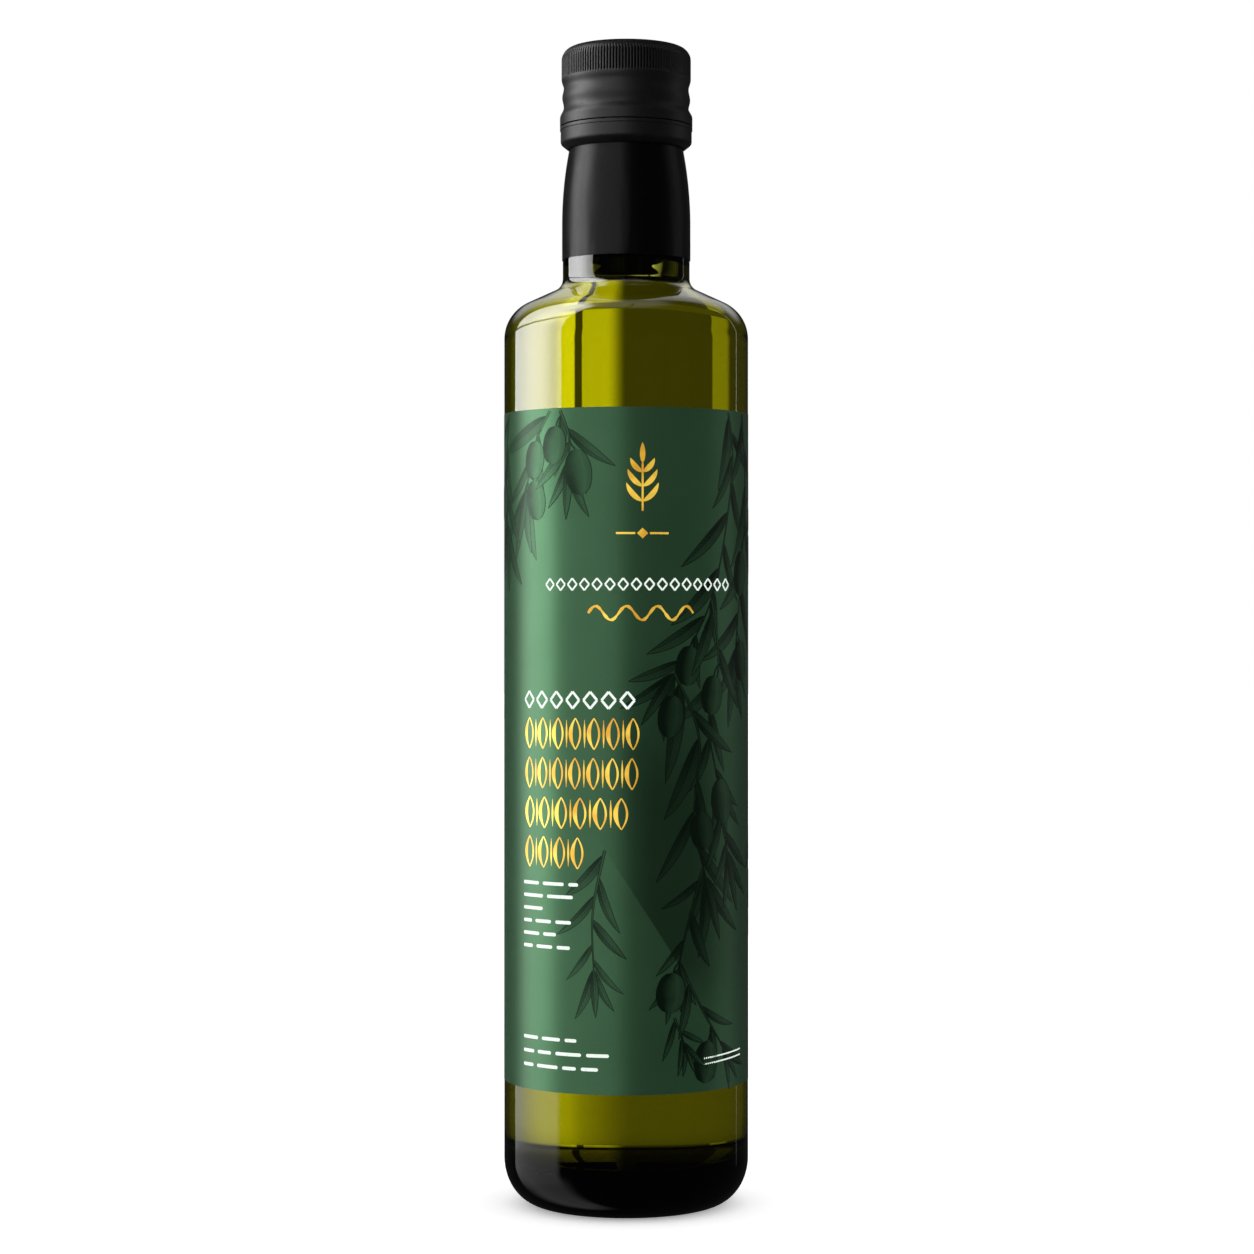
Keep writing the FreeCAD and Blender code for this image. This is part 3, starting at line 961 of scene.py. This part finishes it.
def make_cap():
    """The screw cap, closed at its foot round an empty bore."""
    flange = [CAP_FOOT_Z + s * MM for s in (0.12, 0.5, 1.3, 1.9)]
    roll = [FLANGE_TOP_Z + (RIB_FOOT_Z - FLANGE_TOP_Z) * i / 30 for i in range(31)]
    rib = [RIB_FOOT_Z + s * MM for s in (0.12, 0.25, 0.5, 1.5, 2.5, 3.5, 4.8)]
    knee = [CAP_TOP_Z - TOP_ROUND * (1 - math.sin(math.pi / 2 * i / 14)) for i in range(1, 14)]
    side = [(CAP_RADIUS, z) for z in flange + roll + rib + knee]
    crown = CAP_RADIUS - TOP_ROUND
    dish = 0.12 * MM
    top = [(crown, CAP_TOP_Z), (crown - 0.6 * MM, CAP_TOP_Z - 0.01 * MM),
           (crown - 1.1 * MM, CAP_TOP_Z - dish), (crown / 2, CAP_TOP_Z - dish),
           (0.0, CAP_TOP_Z - dish)]
    inside = [(0.0, LIP_Z), (CAP_BORE_RADIUS - 1.0 * MM, LIP_Z), (CAP_BORE_RADIUS, LIP_Z - 1.0 * MM),
              (CAP_BORE_RADIUS, CAP_FOOT_Z + 0.1 * MM), (CAP_BORE_RADIUS + 0.1 * MM, CAP_FOOT_Z),
              (FLANGE_RADIUS - 0.12 * MM, CAP_FOOT_Z)]
    on_side = set(side)

    def shape(r, z, angle):
        return (cap_side(z, angle), z) if (r, z) in on_side else (r, z)

    cap = turned("cap_shell", inside + side + top, RIBS * STEPS_PER_RIB, shape)
    black = plastic_material("cap_plastic", (0.0026, 0.0026, 0.0028, 1.0), 0.38, 0.52, 2200.0, 0.2,
                             0.31)
    finish_piece(cap, "cap", black)
    return black


def make_ring(black):
    """The tamper ring with its curled lip, and the small bridges up to the cap."""
    break_z = RING_FOOT_Z + RING_HEIGHT
    lip = neck_at(RING_FOOT_Z, SLEEVE_THICKNESS) + 0.1 * MM
    side = FLANGE_RADIUS - 0.17 * MM
    slope = math.tan(math.radians(38))
    elbow = RING_FOOT_Z + (side - lip) * slope
    land = break_z - 0.9 * MM
    outline = rounded([
        (lip, RING_FOOT_Z, 0.15 * MM),
        (side, elbow, 1.1 * MM),
        (side, land, 0.05 * MM),
        (FLANGE_RADIUS, land + 0.12 * MM, 0.05 * MM),
        (FLANGE_RADIUS, break_z, 0.1 * MM),
        (CAP_BORE_RADIUS, break_z, 0.1 * MM),
        (CAP_BORE_RADIUS, RING_FOOT_Z + 1.5 * MM, 0.2 * MM),
        (lip, RING_FOOT_Z + 1.0 * MM, 0.1 * MM),
    ])
    ring = turned("tamper_band", outline, 288)
    work = bmesh.new()
    work.from_mesh(ring.data)
    for k in range(12):
        angle = TURN * (k + 0.5) / 12
        middle = (CAP_BORE_RADIUS + FLANGE_RADIUS - 0.5 * MM) / 2
        made = bmesh.ops.create_cube(work, size=1.0)["verts"]
        for vert in made:
            x = vert.co.x * 1.2 * MM
            y = middle + vert.co.y * (FLANGE_RADIUS - 0.5 * MM - CAP_BORE_RADIUS)
            z = break_z + BREAK_GAP / 2 + vert.co.z * 2 * BREAK_GAP
            vert.co = Vector((x * math.cos(angle) - y * math.sin(angle),
                              x * math.sin(angle) + y * math.cos(angle), z))
    work.to_mesh(ring.data)
    work.free()
    finish_piece(ring, "tamper_ring", black)


# ================================================================ studio
def spread(tree, value, window):
    """1 inside a window (start, end, fade in, fade out) in degrees, easing to 0 at both ends."""
    start, end, fade_in, fade_out = window
    rise = ramp(tree, value, start, start + fade_in)
    fall = ramp(tree, value, end - fade_out, end, 1.0, 0.0)
    return maths(tree, "MULTIPLY", rise, fall)


def band(tree, value, middle, half):
    """1 within half of the middle, in degrees, with a soft edge beyond."""
    off = maths(tree, "ABSOLUTE", maths(tree, "SUBTRACT", value, middle))
    return ramp(tree, off, half, half * 1.7, 1.0, 0.0)


def glow(tree, azimuth, elevation, level, panels):
    """The sum of soft-edged panels, each (radiance, azimuth window, elevation window)."""
    total = level
    for radiance, across, up in panels:
        patch = maths(tree, "MULTIPLY", spread(tree, azimuth, across), spread(tree, elevation, up))
        total = maths(tree, "MULTIPLY_ADD", patch, radiance, total)
    return total


# Panels mirrored in the surfaces. Azimuth 0 is the camera's side, growing to the left.
SOFTBOX_UP = (-9, 74, 9, 10)
MIRROR_LEVEL = 0.015
MIRROR_PANELS = (
    (5.0, (62.5, 129.5, 1.5, 1), SOFTBOX_UP),
    (4.9, (63, 128, 26, 36), SOFTBOX_UP),
    (0.9, (62.5, 129.5, 8, 1), (-10.2, 0, 1.4, 4)),
    (0.6, (62.5, 129.5, 8, 1), (-35, 0, 28, 4)),
    (0.35, (50, 135, 25, 30), (-88, -10, 20, 20)),
    (1.0, (132, 181, 18, 0.5), (14, 80, 12, 10)),
    (1.0, (-181, -132, 0.5, 18), (14, 80, 12, 10)),
    (1.0, (-128.5, -126, 0.8, 0.8), (-12, 50, 8, 10)),
    (0.7, (-181, 181, 1, 1), (62, 91, 14, 0.5)),
)
# A thin dark rail across the softbox, lower towards the back.
RAIL_HEIGHT = 29.0
RAIL_HALF = 1.4
RAIL_SLOPE = 0.45
# The same studio as satin surfaces gather it, with wide weak fill lights added.
SATIN_LEVEL = 0.05
SATIN_PANELS = (
    (8.4, (63, 124, 14, 24), (-10, 60, 12, 12)),
    (3.6, (63, 124, 14, 24), (-40, 0, 26, 8)),
    (1.5, (2, 66, 4, 6), (-30, 60, 15, 12)),
    (0.35, (-125, -85, 12, 10), (-30, 60, 15, 12)),
)
# Panels seen through the glass. Azimuth 0 is straight behind, growing to the right.
ANY_HEIGHT = (-91, 91, 0.5, 0.5)
THROUGH_LEVEL = 0.105
THROUGH_PANELS = (
    (1.08, (0, 13.2, 5.8, 0.4), ANY_HEIGHT),
    (0.80, (15.2, 24, 0.6, 5), ANY_HEIGHT),
    (0.88, (15.2, 62, 0.6, 40), ANY_HEIGHT),
    (0.44, (-44, -30, 4, 1), ANY_HEIGHT),
    (0.9, (79, 91, 5, 0.5), ANY_HEIGHT),
    (0.9, (-91, -79, 0.5, 5), ANY_HEIGHT),
)
# How much of the light is left on a path that was mirrored inside the bottle.
MIRRORED_INSIDE = 0.12
# A dim band just under the horizon, where only a weak glow from the right is left.
DIM_BAND = (-14.6, -7.95, 0.4, 0.3)
DIM_SIDES = (-64, 64, 4, 4)
DIM_LEVEL = 0.165
DIM_PANELS = (
    (0.46, (-3, 58, 24, 30), ANY_HEIGHT),
    (0.22, (12, 50, 8, 22), ANY_HEIGHT),
)
BACKDROP = 1.0
ROOM = 1.0


def make_world():
    """A white studio. Each kind of ray sees its own arrangement of soft panels."""
    world = bpy.data.worlds.new("studio")
    bpy.context.scene.world = world
    world.use_nodes = True
    world.cycles.sampling_method = "NONE"
    tree = world.node_tree
    tree.nodes.clear()
    path = add(tree, "LightPath").outputs
    away = add(tree, "TexCoord").outputs["Generated"]
    x, y, z = add(tree, "SeparateXYZ", {0: away}).outputs
    degrees = 180 / math.pi
    back_x = maths(tree, "MULTIPLY", x, -1.0)
    back_y = maths(tree, "MULTIPLY", y, -1.0)
    around = maths(tree, "MULTIPLY", maths(tree, "ARCTAN2", back_x, back_y), degrees)
    side = maths(tree, "MULTIPLY", x, maths(tree, "SIGN", y))
    behind = maths(tree, "MULTIPLY",
                   maths(tree, "ARCTAN2", side, maths(tree, "ABSOLUTE", y)), degrees)
    up = maths(tree, "MULTIPLY", maths(tree, "ARCSINE", z), degrees)
    straight_behind = maths(tree, "MULTIPLY", maths(tree, "ARCTAN2", x, y), degrees)
    rail = band(tree, maths(tree, "MULTIPLY_ADD", maths(tree, "SUBTRACT", around, 90.0),
                            RAIL_SLOPE, up), RAIL_HEIGHT, RAIL_HALF)
    mirrored = maths(tree, "MULTIPLY", glow(tree, around, up, MIRROR_LEVEL, MIRROR_PANELS),
                     maths(tree, "MULTIPLY_ADD", rail, -0.93, 1.0))
    satin = glow(tree, around, up, SATIN_LEVEL, SATIN_PANELS)
    clear = glow(tree, behind, up, THROUGH_LEVEL, THROUGH_PANELS)
    dimmed = glow(tree, behind, up, DIM_LEVEL, DIM_PANELS)
    low = maths(tree, "MULTIPLY", spread(tree, up, DIM_BAND),
                spread(tree, straight_behind, DIM_SIDES))
    beyond = add(tree, "Mix", {0: low, 2: clear, 3: dimmed}, data_type="FLOAT").outputs[0]
    inside = maths(tree, "MINIMUM", path["Glossy Depth"], 1.0)
    through = maths(tree, "MULTIPLY", beyond,
                    maths(tree, "MULTIPLY_ADD", inside, MIRRORED_INSIDE - 1.0, 1.0))
    level = ROOM
    for is_ray, seen in ((path["Is Glossy Ray"], satin),
                         (path["Is Singular Ray"], mirrored),
                         (path["Is Transmission Ray"], through),
                         (path["Is Camera Ray"], BACKDROP)):
        level = add(tree, "Mix", {0: is_ray, 2: level, 3: seen}, data_type="FLOAT").outputs[0]
    shade = add(tree, "Background", {"Color": (1, 1, 1, 1), "Strength": level})
    add(tree, "OutputWorld", {"Surface": shade.outputs[0]})


def make_floor():
    """A pale matt floor that only the camera and diffuse light see."""
    work = bmesh.new()
    bmesh.ops.create_circle(work, cap_ends=True, radius=6.0, segments=96)
    mesh = bpy.data.meshes.new("floor")
    work.to_mesh(mesh)
    work.free()
    floor = bpy.data.objects.new("floor", mesh)
    bpy.context.scene.collection.objects.link(floor)
    material, tree, _ = new_material("pale_floor")
    matt = add(tree, "BsdfDiffuse", {"Color": (0.93, 0.93, 0.93, 1.0)})
    lift = add(tree, "Emission", {"Color": (1, 1, 1, 1), "Strength": 0.35})
    both = add(tree, "AddShader", {0: matt.outputs[0], 1: lift.outputs[0]})
    surface(tree, both)
    mesh.materials.append(material)
    floor.visible_glossy = False
    floor.visible_transmission = False


EYE_DISTANCE = 0.783
EYE_HEIGHT = 0.1452
LENS = 89.0


def make_camera():
    data = bpy.data.cameras.new("camera")
    data.lens = LENS
    data.sensor_width = 36.0
    camera = bpy.data.objects.new("camera", data)
    bpy.context.scene.collection.objects.link(camera)
    camera.location = (0.0002, -EYE_DISTANCE, EYE_HEIGHT)
    camera.rotation_euler = (math.pi / 2, 0, 0)
    bpy.context.scene.camera = camera


def set_rendering():
    scene = bpy.context.scene
    scene.view_settings.view_transform = "Standard"
    scene.cycles.max_bounces = 28
    scene.cycles.transmission_bounces = 24
    scene.cycles.glossy_bounces = 8
    scene.cycles.diffuse_bounces = 3
    scene.cycles.volume_bounces = 0
    scene.cycles.caustics_reflective = False
    scene.cycles.sample_clamp_indirect = 6.0


make_bottle()
make_label()
draw_greenery()
draw_gold()
draw_cream()
make_sleeve()
black_plastic = make_cap()
make_ring(black_plastic)
make_world()
make_floor()
make_camera()
set_rendering()
